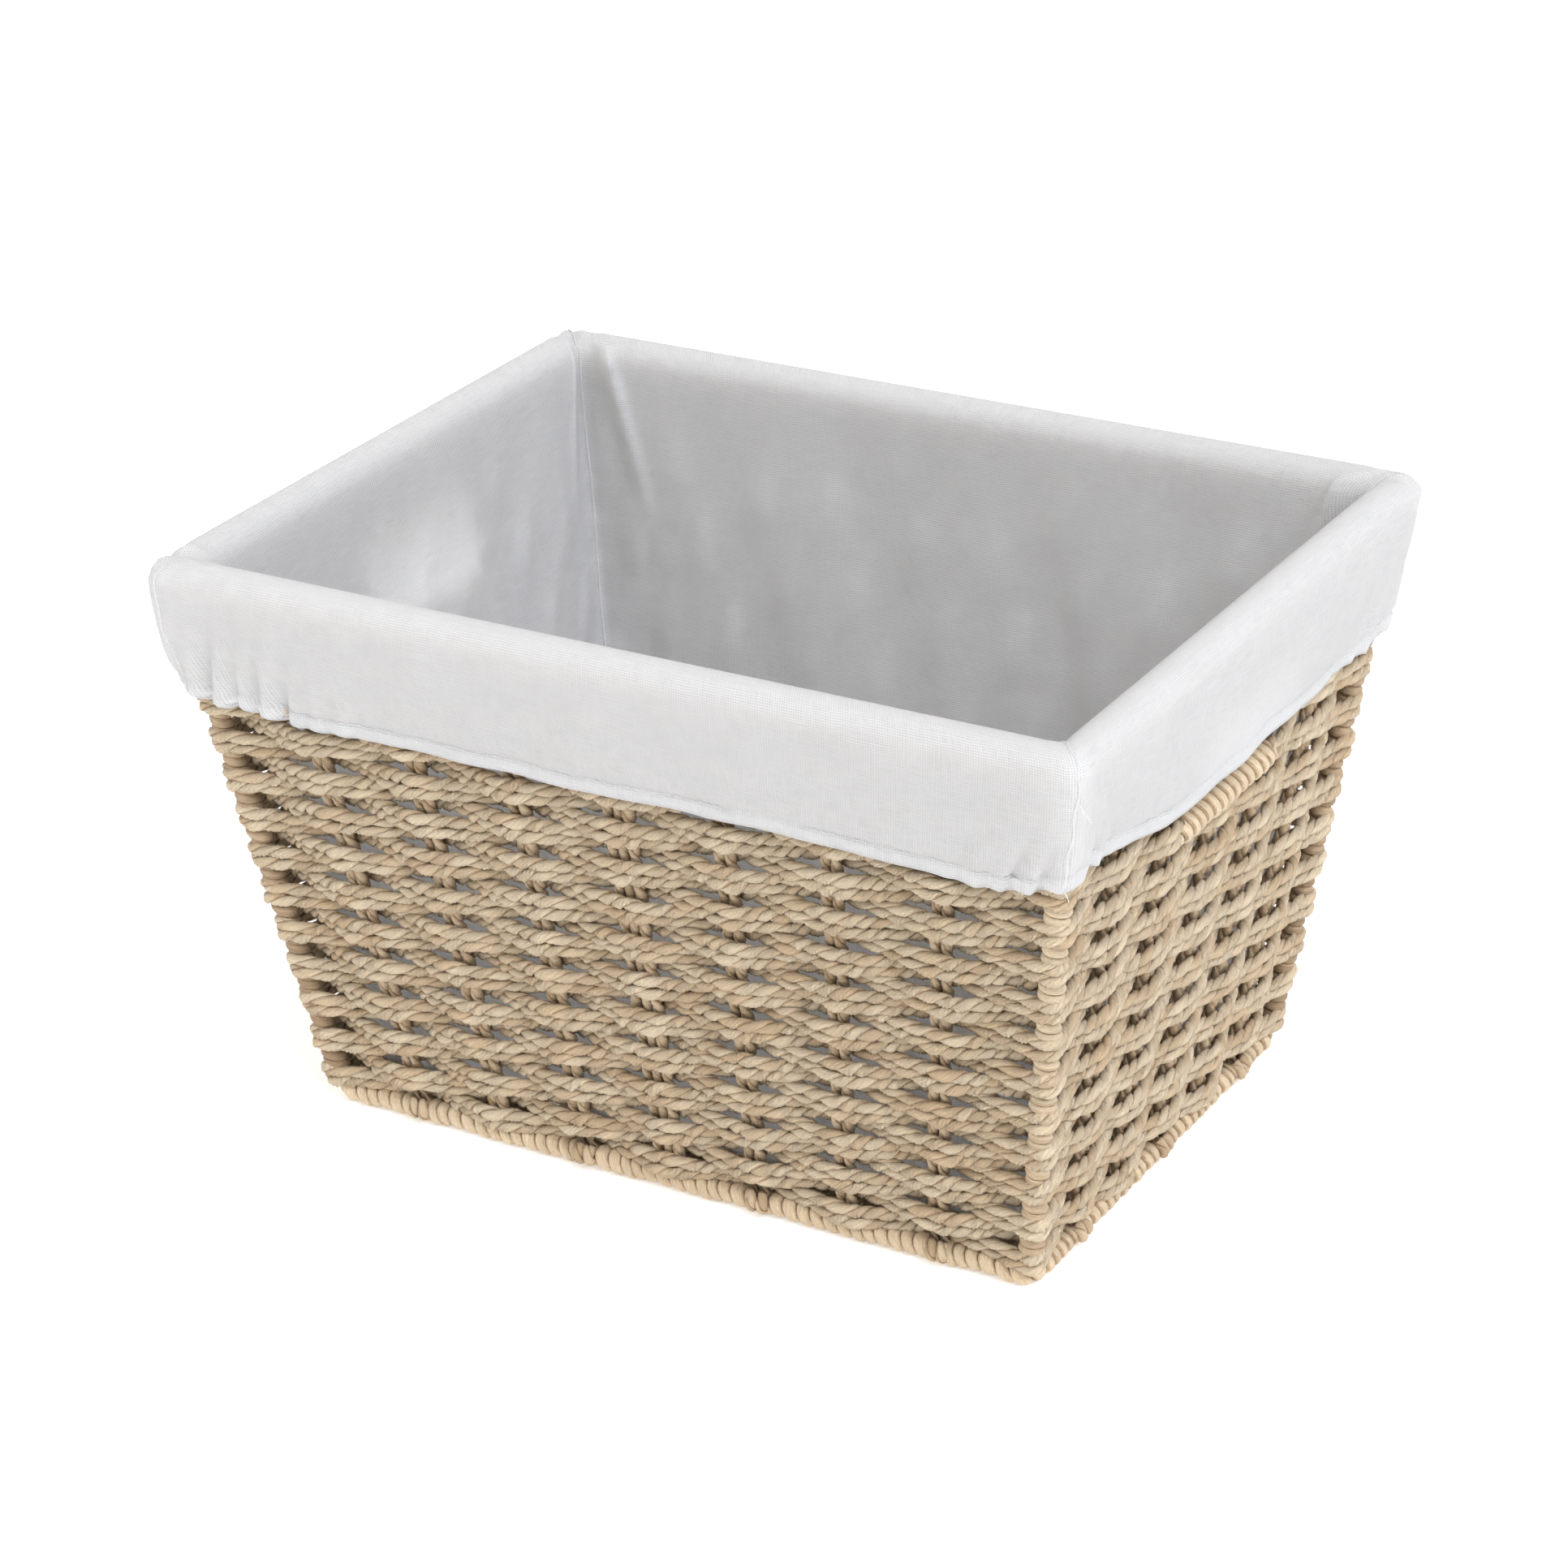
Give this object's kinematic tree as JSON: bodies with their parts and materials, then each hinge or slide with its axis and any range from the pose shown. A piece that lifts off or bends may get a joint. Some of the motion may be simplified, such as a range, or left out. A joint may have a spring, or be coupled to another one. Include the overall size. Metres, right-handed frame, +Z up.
{
  "type": "woven laundry basket",
  "caption": "Tapered rectangular basket woven from twisted paper rope, with hand holes in its ends and a lift-out cotton liner folded over the rim as a cuff.",
  "frame": {"origin": "centre of the basket's footprint, on the floor", "axes": "+X along the long side, +Y from the front long side to the back one, +Z up; the front side faces -Y"},
  "size_m": [0.3998, 0.2998, 0.2449],
  "materials": {
    "paper_rope": "matte twisted kraft paper rope, creased, natural tan",
    "paper_stake": "matte twisted paper strands, shaded tan",
    "wrapped_paper": "matte paper strip wound tightly round a rod",
    "muslin": "matte off-white plain-weave cotton muslin",
    "elastic_band": "matte woven elastic"
  },
  "bodies": {
    "basket": {"back_left_post": "paper_stake", "back_right_post": "paper_stake", "back_stake_1": "paper_stake", "back_stake_2": "paper_stake", "back_stake_3": "paper_stake", "back_stake_4": "paper_stake", "back_stake_5": "paper_stake", "back_stake_6": "paper_stake", "back_stake_7": "paper_stake", "back_weave": "paper_rope", "base_rib_1": "paper_stake", "base_rib_2": "paper_stake", "base_rib_3": "paper_stake", "base_rib_4": "paper_stake", "base_rib_5": "paper_stake", "base_rib_6": "paper_stake", "base_rib_7": "paper_stake", "base_weave": "paper_rope", "bottom_rim": "wrapped_paper", "front_left_post": "paper_stake", "front_right_post": "paper_stake", "front_stake_1": "paper_stake", "front_stake_2": "paper_stake", "front_stake_3": "paper_stake", "front_stake_4": "paper_stake", "front_stake_5": "paper_stake", "front_stake_6": "paper_stake", "front_stake_7": "paper_stake", "front_weave": "paper_rope", "left_hand_hole_lower_bar": "wrapped_paper", "left_hand_hole_upper_bar": "wrapped_paper", "left_stake_1": "paper_stake", "left_stake_2": "paper_stake", "left_stake_3_lower": "paper_stake", "left_stake_3_upper": "paper_stake", "left_stake_4": "paper_stake", "left_stake_5": "paper_stake", "left_weave": "paper_rope", "right_hand_hole_lower_bar": "wrapped_paper", "right_hand_hole_upper_bar": "wrapped_paper", "right_stake_1": "paper_stake", "right_stake_2": "paper_stake", "right_stake_3_lower": "paper_stake", "right_stake_3_upper": "paper_stake", "right_stake_4": "paper_stake", "right_stake_5": "paper_stake", "right_weave": "paper_rope", "top_rim": "wrapped_paper"},
    "liner": {"cuff_back": "muslin", "cuff_front": "muslin", "cuff_left": "muslin", "cuff_right": "muslin", "hem_elastic": "elastic_band", "liner_back": "muslin", "liner_bottom": "muslin", "liner_front": "muslin", "liner_left": "muslin", "liner_right": "muslin"}
  },
  "joints": [
    {"name": "liner_lift", "type": "slide", "parent": "basket", "child": "liner", "axis": [0, 0, 1], "range_m": [0, 0.26], "deforming": ["cuff_back", "cuff_front", "cuff_left", "cuff_right", "hem_elastic"]}
  ]
}
